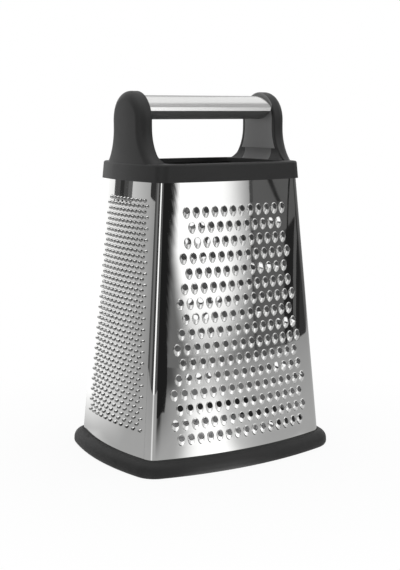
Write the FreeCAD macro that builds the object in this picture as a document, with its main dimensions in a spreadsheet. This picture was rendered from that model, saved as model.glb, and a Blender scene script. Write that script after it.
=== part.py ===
import FreeCAD, Part
import math
import os
import re

from FreeCAD import Placement, Rotation, Vector

# A four-sided box grater. X runs along the front, the front looks to -Y, Z is up,
# and the origin is on the floor under the middle of the body. Millimetres.

# Driving dimensions: name, value, what it is.
SIZES = (
    ("total_height", 254.0, "floor to the top of the uprights"),
    ("handle_rise", 48.0, "collar's top to the top of the uprights"),
    ("steel_low", 3.0, "height of the lower edge of the sheets"),
    ("base_half_length", 78.6, "middle to side sheet, at the lower edge"),
    ("base_half_depth", 61.2, "middle to front sheet, at the lower edge"),
    ("base_side_bow", 7.0, "bow of the side sheets at the lower edge"),
    ("base_front_bow", 10.7, "bow of the front sheet at the lower edge"),
    ("base_corner", 10.5, "corner bend radius at the lower edge"),
    ("top_half_length", 59.8, "middle to side sheet, at the upper edge"),
    ("top_half_depth", 44.6, "middle to front sheet, at the upper edge"),
    ("top_side_bow", 4.9, "bow of the side sheets at the upper edge"),
    ("top_front_bow", 4.5, "bow of the front sheet at the upper edge"),
    ("top_corner", 7.0, "corner bend radius at the upper edge"),
    ("sheet", 0.5, "thickness of the stainless sheets"),
    ("seam_gap", 0.1, "gap at the seams between sheets"),
    ("fit_gap", 0.15, "clearance between pieces that fit together"),
    ("overrun", 5.0, "how far a cutting shape runs past what it cuts"),
    ("medium_pitch", 7.08, "medium teeth: distance along a row"),
    ("medium_row_pitch", 10.06, "medium teeth: height between rows"),
    ("medium_drop", 28.9, "medium teeth: top row below the sheets' upper edge"),
    ("medium_low_limit", 18.0, "medium teeth: no row lower than this"),
    ("medium_margin_top", 16.84, "medium teeth: bare edge at the upper edge"),
    ("medium_margin_low", 13.1, "medium teeth: bare edge at the lower edge"),
    ("medium_width", 4.5, "medium teeth: width of the oval"),
    ("medium_length", 7.4, "medium teeth: length of the oval"),
    ("medium_lip", 1.7, "medium teeth: height of the cutting lip"),
    ("coarse_pitch", 11.6, "coarse teeth: distance along a row"),
    ("coarse_row_pitch", 15.2, "coarse teeth: height between rows"),
    ("coarse_drop", 33.0, "coarse teeth: top row below the sheets' upper edge"),
    ("coarse_low_limit", 20.0, "coarse teeth: no row lower than this"),
    ("coarse_margin_top", 17.0, "coarse teeth: bare edge at the upper edge"),
    ("coarse_margin_low", 15.0, "coarse teeth: bare edge at the lower edge"),
    ("coarse_width", 7.4, "coarse teeth: width of the oval"),
    ("coarse_length", 10.6, "coarse teeth: length of the oval"),
    ("coarse_lip", 2.6, "coarse teeth: height of the cutting lip"),
    ("slice_row_pitch", 38.0, "slicing slots: height between slots"),
    ("slice_drop", 43.0, "slicing slots: top slot below the sheets' upper edge"),
    ("slice_low_limit", 30.0, "slicing slots: no slot lower than this"),
    ("slice_margin", 11.0, "slicing slots: bare edge beside a slot"),
    ("slice_length", 10.0, "slicing slots: height of a slot"),
    ("slice_lip", 2.4, "slicing slots: height of the blade edge"),
    ("fine_pitch", 5.6, "fine burrs: least distance along the middle row"),
    ("fine_row_pitch", 3.716, "fine burrs: height between rows"),
    ("fine_drop", 21.25, "fine burrs: top row below the sheets' upper edge"),
    ("fine_low_limit", 26.0, "fine burrs: no row lower than this"),
    ("fine_margin_top", 17.1, "fine burrs: bare edge at the upper edge"),
    ("fine_margin_low", 14.4, "fine burrs: bare edge at the lower edge"),
    ("fine_shift", 3.9, "fine burrs: middle of the rows in front of the sheet's middle"),
    ("fine_foot", 2.7, "fine burrs: diameter where the burr leaves the sheet"),
    ("fine_hole", 1.3, "fine burrs: diameter of the pierced hole"),
    ("fine_lip", 1.2, "fine burrs: height of the burr"),
    ("collar_height", 12.0, "height of the collar's outer wall"),
    ("collar_roof", 3.0, "thickness of the collar's top"),
    ("collar_wall", 1.6, "thickness of the collar's outer wall"),
    ("collar_edge", 1.6, "radius along the collar's top edge"),
    ("mouth_ledge", 4.0, "collar's top between an upright and the opening"),
    ("mouth_rim", 4.6, "sheet's face to the opening in the collar's top, along Y"),
    ("mouth_corner", 6.0, "corner radius of that opening"),
    ("upright_thickness", 9.8, "sheet's face to the upright's inner face, along X"),
    ("upright_depth", 39.8, "depth of an upright along Y, and of its arch"),
    ("upright_foot", 66.0, "depth of an upright where it meets the collar"),
    ("upright_flare", 27.0, "radius of the flare at an upright's foot"),
    ("upright_inset", 0.2, "upright's outer face inside the collar's face"),
    ("upright_edge", 6.0, "radius along an upright's outer edge"),
    ("upright_inner_edge", 1.0, "radius along an upright's inner edge"),
    ("instep_rise", 7.0, "height of the hollow curve at an upright's inner foot"),
    ("instep_reach", 3.0, "how far that curve runs out on the collar"),
    ("upright_wall", 3.0, "wall left round the hollow of an upright"),
    ("upright_hollow", 7.0, "depth of that hollow"),
    ("upright_solid", 8.0, "solid foot of an upright above the collar"),
    ("cover_plate", 1.6, "thickness of an upright's cover plate"),
    ("bar_drop", 2.8, "top of the bar below the top of the uprights"),
    ("bar_width", 33.0, "width of the handle bar along Y"),
    ("bar_rise", 8.2, "height of the shell's arch"),
    ("bar_lip", 2.4, "height of the shell's upright lip"),
    ("bar_sheet", 0.6, "thickness of the shell"),
    ("belly_width", 31.0, "width of the core below the shell"),
    ("belly_depth", 5.8, "height of the core below the shell"),
    ("tenon_width", 18.0, "width of the core's end tenons"),
    ("tenon_height", 8.0, "height of the core's end tenons"),
    ("tenon_reach", 6.4, "how far a tenon goes into the upright"),
    ("tenon_drop", 9.0, "middle of the tenons below the bar's top"),
    ("tie_inset", 3.6, "tie screw axis behind the upright's inner face"),
    ("tie_diameter", 3.5, "tie screw shank"),
    ("tie_head", 6.0, "tie screw head"),
    ("tie_grip", 5.0, "tie screw length inside the tenon"),
    ("clamp_height", 9.0, "height of the clamp frame"),
    ("clamp_wall", 1.8, "wall of the clamp frame"),
    ("clamp_plate", 3.0, "thickness of the clamp frame's end plates"),
    ("clamp_plate_depth", 58.0, "depth of the end plates along Y"),
    ("clamp_screw_inset", 2.0, "clamp screw axis behind the upright's inner face"),
    ("clamp_screw_depth", 42.0, "clamp screws: distance along Y"),
    ("clamp_screw", 3.0, "clamp screw shank"),
    ("clamp_head", 5.6, "clamp screw head"),
    ("clamp_bite", 8.0, "clamp screw length above the end plate"),
    ("screw_head_height", 2.2, "height of all screw heads"),
    ("screw_gap", 0.2, "clearance round a screw in a plain hole"),
    ("ring_height", 11.0, "height of the foot ring"),
    ("ring_reach", 6.9, "foot ring: widest reach beyond the steel"),
    ("ring_shoulder", 4.0, "foot ring: height of its widest line"),
    ("ring_tuck", 1.6, "foot ring: tuck-under at the floor"),
    ("ring_lip", 0.8, "foot ring: flat top edge beside the steel"),
    ("frame_wall", 2.0, "wall of the base frame"),
    ("frame_height", 10.0, "height of the base frame"),
)

# Dimensions that follow from others: name, formula, what it is.
DERIVED = (
    ("steel_high", "=total_height - handle_rise - collar_roof", "height of the upper edge of the sheets"),
    ("upright_gap", "=2 * (top_half_length - upright_thickness)", "clear distance between the uprights"),
    ("mouth_length", "=upright_gap - 2 * mouth_ledge", "opening in the collar's top, along X"),
    ("mouth_depth", "=2 * (top_half_depth - mouth_rim)", "opening in the collar's top, along Y"),
    ("clamp_screw_length", "=upright_gap + 2 * clamp_screw_inset", "clamp screws: distance along X"),
)

doc = FreeCAD.newDocument("box_grater")
sheet = doc.addObject("Spreadsheet::Sheet", "Sizes")
for row, (alias, value, meaning) in enumerate(SIZES + DERIVED, 1):
    sheet.set(f"A{row}", meaning)
    sheet.set(f"B{row}", str(value))
    sheet.setAlias(f"B{row}", alias)
doc.recompute()


def size(alias):
    """A driving dimension, read from the spreadsheet."""
    return float(sheet.get(alias))


def bind(piece, **formulas):
    """Tie properties of a piece to formulas written in the spreadsheet's names."""
    for prop, formula in formulas.items():
        named = re.sub(r"\b[a-z]\w+", lambda word: "Sizes." + word.group(), formula)
        piece.setExpression(prop.replace("__", "."), named)
    return piece


def place(piece, x="0", y="0", z="0"):
    """Tie a piece's position to formulas."""
    return bind(piece, Placement__Base__x=x, Placement__Base__y=y, Placement__Base__z=z)


def feature(label, shape, turn=0):
    """A sub-part with a worked-out shape, turned about Z."""
    piece = doc.addObject("Part::Feature", label)
    piece.Shape = shape
    piece.Placement = Placement(Vector(), Rotation(Vector(0, 0, 1), turn))
    return piece


TURNED_ROUND = 180
STEEL_LOW = size("steel_low")
STEEL_HIGH = size("steel_high")
COLLAR_HIGH = STEEL_HIGH + size("collar_roof")
COLLAR_LOW = COLLAR_HIGH - size("collar_height")
SHEET = size("sheet")
FIT = size("fit_gap")
OVERRUN = size("overrun")


# The body's outline: four bowed sides and four round corners, all tapering upwards.

def tapered(low, high, z):
    """A size that runs straight from the sheets' lower edge to their upper edge."""
    rise = (z - STEEL_LOW) / (STEEL_HIGH - STEEL_LOW)
    return size(low) + (size(high) - size(low)) * rise


def outline(z):
    """Circles of the outline at a height: side radii and centres, corner centre and radius."""
    length = tapered("base_half_length", "top_half_length", z)
    depth = tapered("base_half_depth", "top_half_depth", z)
    side_bow = tapered("base_side_bow", "top_side_bow", z)
    front_bow = tapered("base_front_bow", "top_front_bow", z)
    corner = tapered("base_corner", "top_corner", z)
    front_radius = ((length - side_bow) ** 2 + front_bow ** 2) / (2 * front_bow)
    side_radius = ((depth - front_bow) ** 2 + side_bow ** 2) / (2 * side_bow)
    front_centre = Vector(0, front_radius - depth, z)
    side_centre = Vector(length - side_radius, 0, z)
    between = side_centre - front_centre
    reach_front = front_radius - corner
    reach_side = side_radius - corner
    along = (reach_front ** 2 - reach_side ** 2 + between.Length ** 2) / (2 * between.Length)
    across = math.sqrt(reach_front ** 2 - along ** 2)
    toward = Vector(between).normalize()
    sideways = Vector(toward.y, -toward.x, 0)
    if sideways.y > 0:
        sideways = sideways * -1
    corner_centre = front_centre + toward * along + sideways * across
    return front_radius, front_centre, side_radius, side_centre, corner, corner_centre


def corner_half_length(z):
    """Half the front sheet's width at a height, to the corner."""
    return tapered("base_half_length", "top_half_length", z) - tapered("base_side_bow", "top_side_bow", z)


def corner_half_depth(z):
    """Half a side sheet's width at a height, to the corner."""
    return tapered("base_half_depth", "top_half_depth", z) - tapered("base_front_bow", "top_front_bow", z)


def mirrored(point, x, y):
    return Vector(point.x * x, point.y * y, point.z)


def arc(first, middle, last):
    return Part.Arc(first, middle, last).toShape()


def front_arcs(z, grow=0):
    """Left corner, front side and right corner of the outline, grown outwards."""
    radius, centre, _, side_centre, corner, corner_centre = outline(z)
    to_corner = (corner_centre - centre).normalize()
    to_side = (corner_centre - side_centre).normalize()
    tangent = centre + to_corner * (radius + grow)
    end = corner_centre + to_side * (corner + grow)
    bend = corner_centre + (to_corner + to_side).normalize() * (corner + grow)
    crown = centre + Vector(0, -radius - grow, 0)
    left = arc(mirrored(end, -1, 1), mirrored(bend, -1, 1), mirrored(tangent, -1, 1))
    middle = arc(mirrored(tangent, -1, 1), crown, tangent)
    right = arc(tangent, bend, end)
    return [left, middle, right]


def left_arc(z, grow=0, gap=0):
    """Left side of the outline, shortened by a gap at each end."""
    _, _, radius, centre, _, corner_centre = outline(z)
    to_corner = (corner_centre - centre).normalize()
    half_angle = math.asin(-to_corner.y) - gap / radius
    reach = radius + grow
    end = Vector(centre.x + reach * math.cos(half_angle), -reach * math.sin(half_angle), z)
    crown = Vector(centre.x + reach, 0, z)
    return arc(mirrored(end, -1, 1), mirrored(crown, -1, 1), mirrored(end, -1, -1))


def outline_wire(z, grow=0, height=None):
    """The whole outline of height z as a closed wire, drawn at another height if one is given."""
    front = front_arcs(z, grow)
    left = left_arc(z, grow)
    turn = Rotation(Vector(0, 0, 1), TURNED_ROUND)
    edges = front + [left]
    for edge in front + [left]:
        other = edge.copy()
        other.Placement = Placement(Vector(), turn)
        edges.append(other)
    wire = Part.Wire(Part.__sortEdges__(edges))
    if height is not None:
        wire.translate(Vector(0, 0, height - z))
    return wire


def body_block(low, high, grow):
    """Everything inside the outline between two heights."""
    return Part.makeLoft([outline_wire(low, grow), outline_wire(high, grow)], True, True)


# The sheets. A sheet is two ruled skins, its edges, and the walls of its teeth, sewn together.

def on_surface(surface, points):
    """A curve through points given in the surface's own two parameters."""
    curve = Part.Geom2d.BezierCurve2d()
    curve.setPoles([FreeCAD.Base.Vector2d(u, v) for u, v in points])
    return curve.toShape(surface)


def bezier(points):
    curve = Part.BezierCurve()
    curve.setPoles(points)
    return curve.toShape()


# A cubic whose two middle poles stand this much further out peaks at the wanted height.
PEAK_SHARE = 4 / 3
FOOT_SHARE = 0.5


def scoop(outer, inner, u, v, outward, width, length, lip):
    """One scoop-shaped tooth: an oval hole whose lower half rises to a cutting lip."""
    across = width / 2 / outer.getDN(u, v, 1, 0).Length
    along = length / 2 / outer.getDN(u, v, 0, 1).Length * PEAK_SHARE
    ends = ((u - across, v), (u + across, v))
    lower = (ends[0], (u - across, v - along), (u + across, v - along), ends[1])
    upper = (ends[1], (u + across, v + along), (u - across, v + along), ends[0])

    def lip_edge(skin):
        first, last = (skin.value(*end) for end in ends)
        rise = outward * (lip * PEAK_SHARE)
        lean = (last - first) * (FOOT_SHARE / 2)
        return bezier([first, first + lean + rise, last - lean + rise, last])

    skins = []
    faces = []
    for skin in (outer, inner):
        below, above = on_surface(skin, lower), on_surface(skin, upper)
        edge = lip_edge(skin)
        ramp = Part.Wire([below, edge])
        faces.append(Part.makeRuledSurface(*ramp.Edges))
        skins.append((below, above, edge))
    faces.append(Part.makeRuledSurface(skins[0][2], skins[1][2]))
    faces.append(Part.makeRuledSurface(skins[0][1], skins[1][1]))
    holes = [Part.Wire([below, above]) for below, above, _ in skins]
    return holes, faces


BURR_POINTS = 6


def burr(outer, inner, u, v, outward, foot, hole, lip):
    """One pierced burr: a small crater that stands out from the sheet."""
    turn = [2 * math.pi * k / BURR_POINTS for k in range(BURR_POINTS)]
    right, up = outer.getDN(u, v, 1, 0), outer.getDN(u, v, 0, 1)
    scale_u, scale_v = right.Length, up.Length

    def ring(skin, diameter):
        curve = Part.Geom2d.BSplineCurve2d()
        radius_u, radius_v = diameter / 2 / scale_u, diameter / 2 / scale_v
        points = [(u + radius_u * math.cos(a), v - radius_v * math.sin(a)) for a in turn]
        curve.interpolate([FreeCAD.Base.Vector2d(*p) for p in points], True)
        return curve.toShape(skin)

    top = outer.value(u, v) + outward * lip
    right, up = right / scale_u, up / scale_v
    crater = Part.BSplineCurve()
    rim = [top + right * (hole / 2 * math.cos(a)) - up * (hole / 2 * math.sin(a)) for a in turn]
    crater.interpolate(rim, True)
    crater = crater.toShape()
    rings = [ring(outer, foot), ring(inner, hole)]
    faces = [Part.makeRuledSurface(edge, crater) for edge in rings]
    return [Part.Wire([edge]) for edge in rings], faces


def sheet_solid(arcs_at, toothed, outward, teeth):
    """A bent sheet with teeth; teeth are (place along the sheet, height, maker) in one skin."""
    low_out, high_out = arcs_at(STEEL_LOW, 0), arcs_at(STEEL_HIGH, 0)
    low_in, high_in = arcs_at(STEEL_LOW, -SHEET), arcs_at(STEEL_HIGH, -SHEET)
    faces = []
    for k in range(len(low_out)):
        skins = [Part.makeRuledSurface(low_out[k], high_out[k]), Part.makeRuledSurface(low_in[k], high_in[k])]
        if k == toothed:
            surfaces = [skin.Surface for skin in skins]
            holes = ([], [])
            for point, make in teeth:
                u, v = surfaces[0].parameter(point)
                normal = surfaces[0].normal(u, v)
                if normal.dot(outward) < 0:
                    normal = normal * -1
                wires, walls = make(*surfaces, u, v, normal)
                for ring, wire in zip(holes, wires):
                    ring.append(wire)
                faces.extend(walls)
            skins = []
            for surface, ring in zip(surfaces, holes):
                skins.append(pierced(surface, ring))
        faces.extend(skins)
        faces.append(Part.makeRuledSurface(low_out[k], low_in[k]))
        faces.append(Part.makeRuledSurface(high_out[k], high_in[k]))
    for k, end in ((0, 0), (-1, -1)):
        low = Part.makeLine(low_out[k].Vertexes[end].Point, low_in[k].Vertexes[end].Point)
        high = Part.makeLine(high_out[k].Vertexes[end].Point, high_in[k].Vertexes[end].Point)
        faces.append(Part.makeRuledSurface(low, high))
    sewn = Part.makeCompound(faces)
    sewn.sewShape()
    solid = Part.Solid(sewn.Shells[0])
    if solid.Volume < 0:
        solid.reverse()
    return solid


def pierced(surface, wires):
    """A skin with holes: their wires run against the skin's own boundary."""
    for wire in wires:
        wire.reverse()
    skin = Part.Face(surface, wires)
    whole = Part.Face(surface)
    if skin.Area > whole.Area:
        for wire in wires:
            wire.reverse()
        skin = Part.Face(surface, wires)
    return skin


def row_heights(name):
    """Heights of a pattern's rows, from its top row down to its limit."""
    top = STEEL_HIGH - size(name + "_drop")
    pitch = size(name + "_row_pitch")
    count = math.floor((top - size(name + "_low_limit")) / pitch) + 1
    return [top - row * pitch for row in range(count)]


def front_point(x, z):
    radius, centre = outline(z)[:2]
    return Vector(x, centre.y - math.sqrt(radius ** 2 - x ** 2), z)


def left_point(y, z):
    radius, centre = outline(z)[2:4]
    return Vector(-centre.x - math.sqrt(radius ** 2 - y ** 2), y, z)


def scoop_maker(name):
    return lambda *skin: scoop(*skin, size(name + "_width"), size(name + "_length"), size(name + "_lip"))


def staggered_teeth(name):
    """Rows of scoops on the front sheet: each row is half a pitch off its neighbours."""
    pitch = size(name + "_pitch")
    make = scoop_maker(name)
    teeth = []
    parity = None
    for row, z in enumerate(row_heights(name)):
        margin = tapered(name + "_margin_low", name + "_margin_top", z)
        steps = math.floor(2 * (corner_half_length(z) - margin) / pitch)
        if parity is None:
            parity = steps % 2
        if (steps + row) % 2 != parity:
            steps -= 1
        for k in range(steps + 1):
            teeth.append((front_point((k - steps / 2) * pitch, z), make))
    return teeth


def slicing_slots():
    """Wide slots on a side sheet, each with its lower edge raised to a blade."""
    teeth = []
    for z in row_heights("slice"):
        width = 2 * (corner_half_depth(z) - size("slice_margin"))
        make = lambda *skin, width=width: scoop(*skin, width, size("slice_length"), size("slice_lip"))
        teeth.append((left_point(0, z), make))
    return teeth


def fine_burrs():
    """Burrs on a side sheet: the rows fan out with the sheet, every second row has one burr more."""
    make = lambda *skin: burr(*skin, size("fine_foot"), size("fine_hole"), size("fine_lip"))

    def half_width(z):
        return corner_half_depth(z) - tapered("fine_margin_low", "fine_margin_top", z)

    heights = row_heights("fine")
    widest = math.floor(2 * half_width(heights[len(heights) // 2]) / size("fine_pitch"))
    teeth = []
    for row, z in enumerate(heights):
        pitch = 2 * half_width(z) / widest
        steps = widest if row % 2 else widest - 1
        for k in range(steps + 1):
            y = (k - steps / 2) * pitch - size("fine_shift")
            teeth.append((left_point(y, z), make))
    return teeth


def front_sheet(teeth):
    return sheet_solid(front_arcs, 1, Vector(0, -1, 0), teeth)


def left_sheet(teeth):
    def arcs(z, grow):
        return [left_arc(z, grow, size("seam_gap"))]
    return sheet_solid(arcs, 0, Vector(-1, 0, 0), teeth)


front_panel = feature("front_panel", front_sheet(staggered_teeth("medium")))
back_panel = feature("back_panel", front_sheet(staggered_teeth("coarse")), TURNED_ROUND)
left_panel = feature("left_panel", left_sheet(fine_burrs()))
right_panel = feature("right_panel", left_sheet(slicing_slots()), TURNED_ROUND)


# The handle frame: a collar with a roof, a mouth in the roof, and an upright at each end.

def edges_between(shape, test):
    return [edge for edge in shape.Edges if all(test(v.Point) for v in edge.Vertexes)]


NEAR = 1e-4


def arch_face(inset, floor, x):
    """An upright's outline in the Y-Z plane: half-round top, straight sides, flared foot."""
    half = size("upright_depth") / 2
    flare = size("upright_flare")
    spread = (size("upright_foot") - size("upright_depth")) / 2
    spring = size("total_height") - half
    flare_top = COLLAR_HIGH + math.sqrt(flare ** 2 - (flare - spread) ** 2)
    curve = flare + inset

    def side(z):
        return half + flare - math.sqrt(curve ** 2 - (flare_top - z) ** 2)

    middle = (flare_top + floor) / 2
    points = [(side(floor), floor), (side(middle), middle), (half - inset, flare_top), (half - inset, spring)]
    right = [Vector(x, y, z) for y, z in points]
    left = [mirrored(point, 1, -1) for point in right]
    top = Vector(x, 0, spring + half - inset)
    edges = [arc(right[0], right[1], right[2]), Part.makeLine(right[2], right[3]), arc(right[3], top, left[3]),
             Part.makeLine(left[3], left[2]), arc(left[2], left[1], left[0]), Part.makeLine(left[0], right[0])]
    return Part.Face(Part.Wire(edges))


INNER_X = size("upright_gap") / 2
HOLLOW_FLOOR = COLLAR_HIGH + size("upright_solid")
COLLAR_GROW = FIT + size("collar_wall")
TIE_X = INNER_X + size("tie_inset")
BAR_TOP = size("total_height") - size("bar_drop")
TENON_MIDDLE = BAR_TOP - size("tenon_drop")


def instep():
    """The hollow curve between the right-hand upright's inner face and the collar's top."""
    rise, reach = size("instep_rise"), size("instep_reach")
    radius = (rise ** 2 + reach ** 2) / (2 * reach)
    depth = size("upright_foot")
    high = COLLAR_HIGH + rise
    block = Part.makeBox(reach, depth, high - STEEL_HIGH, Vector(INNER_X - reach, -depth / 2, STEEL_HIGH))
    axis = Vector(INNER_X - radius, -depth, high)
    block = block.cut(Part.makeCylinder(radius, 2 * depth, axis, Vector(0, 1, 0)))
    within = arch_face(size("upright_inner_edge"), STEEL_HIGH, INNER_X - reach).extrude(Vector(reach, 0, 0))
    return block.common(within)


def upright():
    """The right-hand upright, hollow towards the middle of the handle."""
    thick = size("top_half_length")
    block = arch_face(0, STEEL_HIGH, INNER_X).extrude(Vector(thick, 0, 0))
    rim = outline_wire(COLLAR_HIGH, COLLAR_GROW - size("upright_inset"), STEEL_HIGH - OVERRUN)
    block = block.common(Part.Face(rim).extrude(Vector(0, 0, size("total_height"))))
    half_way = INNER_X + size("upright_edge")
    outer = edges_between(block, lambda p: p.x > half_way)
    outer = [edge for edge in outer if edge.BoundBox.ZMax > STEEL_HIGH + NEAR]
    block = block.makeFillet(size("upright_edge"), outer)
    inner = edges_between(block, lambda p: abs(p.x - INNER_X) < NEAR)
    inner = [edge for edge in inner if edge.BoundBox.ZMax > STEEL_HIGH + NEAR]
    block = block.makeFillet(size("upright_inner_edge"), inner)
    hollow = arch_face(size("upright_wall"), HOLLOW_FLOOR, INNER_X - OVERRUN)
    return block.cut(hollow.extrude(Vector(size("upright_hollow") + OVERRUN, 0, 0))).fuse(instep())


def collar():
    """The collar's wall and roof, with the mouth cut through the roof."""
    block = body_block(COLLAR_LOW, COLLAR_HIGH, COLLAR_GROW)
    block = block.makeFillet(size("collar_edge"), edges_between(block, lambda p: p.z > COLLAR_HIGH - NEAR))
    inside = body_block(COLLAR_LOW - OVERRUN, STEEL_HIGH, FIT)
    length, depth = size("mouth_length"), size("mouth_depth")
    corner = Vector(-length / 2, -depth / 2, COLLAR_LOW + OVERRUN)
    mouth = Part.makeBox(length, depth, size("collar_height"), corner)
    upright_edges = [edge for edge in mouth.Edges if edge.BoundBox.ZLength > OVERRUN]
    return block.cut([inside, mouth.makeFillet(size("mouth_corner"), upright_edges)])


def screw_places():
    """Where the clamp screws stand, in plan."""
    half_x, half_y = size("clamp_screw_length") / 2, size("clamp_screw_depth") / 2
    return [(x, y) for x in (-half_x, half_x) for y in (-half_y, half_y)]


def hole(x, y, low, high, diameter):
    return Part.makeCylinder(diameter / 2, high - low, Vector(x, y, low))


def handle_frame_shape():
    right = upright()
    left = right.copy()
    left.Placement = Placement(Vector(), Rotation(Vector(0, 0, 1), TURNED_ROUND))
    solid = collar().fuse([right, left]).removeSplitter()
    clear = size("tie_diameter") + size("screw_gap")
    holes = [hole(x, 0, STEEL_HIGH - OVERRUN, HOLLOW_FLOOR + OVERRUN, clear) for x in (-TIE_X, TIE_X)]
    pilot_top = STEEL_HIGH + size("clamp_bite") + FIT
    pilot = size("clamp_screw") + size("screw_gap")
    holes += [hole(x, y, STEEL_HIGH - OVERRUN, pilot_top, pilot) for x, y in screw_places()]
    return solid.cut(holes)


handle_frame = feature("handle_frame", handle_frame_shape())


def cover_shape():
    """A plate that closes the hollow of an upright, with a window for the bar's tenon."""
    plate = arch_face(size("upright_wall") + FIT, HOLLOW_FLOOR + FIT, INNER_X)
    plate = plate.extrude(Vector(size("cover_plate"), 0, 0))
    width, height = size("tenon_width") + 2 * FIT, size("tenon_height") + 2 * FIT
    corner = Vector(INNER_X - OVERRUN, -width / 2, TENON_MIDDLE - height / 2)
    return plate.cut(Part.makeBox(2 * OVERRUN + size("cover_plate"), width, height, corner))


right_cover = feature("right_upright_cover", cover_shape())
left_cover = feature("left_upright_cover", cover_shape(), TURNED_ROUND)


# The handle bar: primitives along X, tied to the spreadsheet by formulas.

ALONG_X = Rotation(Vector(0, 1, 0), 90)
BAR_SHELL_LOW = "total_height - bar_drop - bar_rise - bar_lip"


def bar_box(name, width, low, high, length):
    """A box along the bar, centred on it, between two heights."""
    box = bind(doc.addObject("Part::Box", name), Length=length, Width=width, Height=f"({high}) - ({low})")
    return place(box, f"-({length}) / 2", f"-({width}) / 2", low)


def bar_round(name, radius, middle, length):
    """A cylinder along the bar."""
    rod = doc.addObject("Part::Cylinder", name)
    rod.Placement = Placement(Vector(), ALONG_X)
    bind(rod, Radius=radius, Height=length)
    return place(rod, f"-({length}) / 2", "0", middle)


def boolean(kind, name, *pieces):
    """A boolean of document objects."""
    result = doc.addObject("Part::" + kind, name)
    if kind == "MultiFuse":
        result.Shapes = list(pieces)
        result.Refine = True
    else:
        result.Base, result.Tool = pieces
    return result


def bar_arch(name, shrink, low, length):
    """The bar's upper half, shrunk inwards all round."""
    radius = "((bar_width / 2)^2 + bar_rise^2) / (2 * bar_rise)"
    top = "total_height - bar_drop"
    rod = bar_round(name + "_round", f"{radius} - ({shrink})", f"{top} - {radius}", length)
    box = bar_box(name + "_sides", f"bar_width - 2 * ({shrink})", low, top, length)
    return boolean("Common", name, rod, box)


BAR_LENGTH = "upright_gap - 2 * fit_gap"
shell_outside = bar_arch("shell_outside", "0", BAR_SHELL_LOW, BAR_LENGTH)
shell_inside = bar_arch("shell_inside", "bar_sheet", BAR_SHELL_LOW + " - overrun",
                        BAR_LENGTH + " + 2 * overrun")
bar_shell = boolean("Cut", "handle_bar_shell", shell_outside, shell_inside)

core_top = bar_arch("core_top", "bar_sheet + fit_gap", BAR_SHELL_LOW, BAR_LENGTH)
belly_radius = "((belly_width / 2)^2 + belly_depth^2) / (2 * belly_depth)"
belly_low = BAR_SHELL_LOW + " - belly_depth"
belly_round = bar_round("belly_round", belly_radius, f"{belly_low} + {belly_radius}", BAR_LENGTH)
belly_sides = bar_box("belly_sides", "belly_width", belly_low, BAR_SHELL_LOW, BAR_LENGTH)
belly = boolean("Common", "belly", belly_round, belly_sides)
tenon_middle = "total_height - bar_drop - tenon_drop"
tenons = bar_box("tenons", "tenon_width", f"{tenon_middle} - tenon_height / 2",
                 f"{tenon_middle} + tenon_height / 2", "upright_gap + 2 * tenon_reach")
core_blank = boolean("MultiFuse", "core_blank", core_top, belly, tenons)


# Screws: a shank and a head, standing upright with the head below.

def screw(name, shank, head, low, length):
    """A screw whose head's upper face is at a height."""
    rod = doc.addObject("Part::Cylinder", name + "_shank")
    cap = doc.addObject("Part::Cylinder", name + "_head")
    place(bind(rod, Radius=f"{shank} / 2", Height=length), z=low)
    place(bind(cap, Radius=f"{head} / 2", Height="screw_head_height"), z=f"{low} - screw_head_height")
    return boolean("MultiFuse", name, rod, cap)


def screw_group(label, screws, places):
    """Identical screws moved to their places, as one group of separate solids."""
    for one, (x, y) in zip(screws, places):
        place(one, x, y)
    group = doc.addObject("Part::Compound", label)
    group.Links = screws
    return group


PLATE_LOW = "steel_high - clamp_plate"
TIE_LENGTH = f"{tenon_middle} - tenon_height / 2 + tie_grip - ({PLATE_LOW})"
tie_x = "upright_gap / 2 + tie_inset"
tie_screws = [screw(f"tie_screw_{k}", "tie_diameter", "tie_head", PLATE_LOW, TIE_LENGTH) for k in range(2)]
tie_group = screw_group("handle_tie_screws", tie_screws, [(f"-({tie_x})", "0"), (tie_x, "0")])
tie_holes = []
for k, side in enumerate((f"-({tie_x})", tie_x)):
    bore = bind(doc.addObject("Part::Cylinder", f"tie_bore_{k}"), Radius="(tie_diameter + fit_gap) / 2",
                Height="tenon_height / 2 + tie_grip")
    tie_holes.append(place(bore, side, "0", f"{tenon_middle} - tenon_height"))
tie_bores = boolean("MultiFuse", "tie_bores", *tie_holes)
bar_core = boolean("Cut", "handle_bar_core", core_blank, tie_bores)

half_length, half_depth = "clamp_screw_length / 2", "clamp_screw_depth / 2"
clamp_places = [(sx + half_length, sy + half_depth) for sx in ("-", "") for sy in ("-", "")]
clamp_screws = [screw(f"clamp_screw_{k}", "clamp_screw", "clamp_head", PLATE_LOW, "clamp_plate + clamp_bite")
                for k in range(len(clamp_places))]
clamp_group = screw_group("top_clamp_screws", clamp_screws, clamp_places)


# The frames that hold the sheets' edges, above and below, and the foot ring.

def ring_frame(low, high, grow, wall):
    """A frame that follows the outline between two heights."""
    inside = Part.makeLoft([outline_wire(low, grow - wall), outline_wire(high, grow - wall)], True, True)
    return body_block(low, high, grow).cut(inside)


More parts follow.
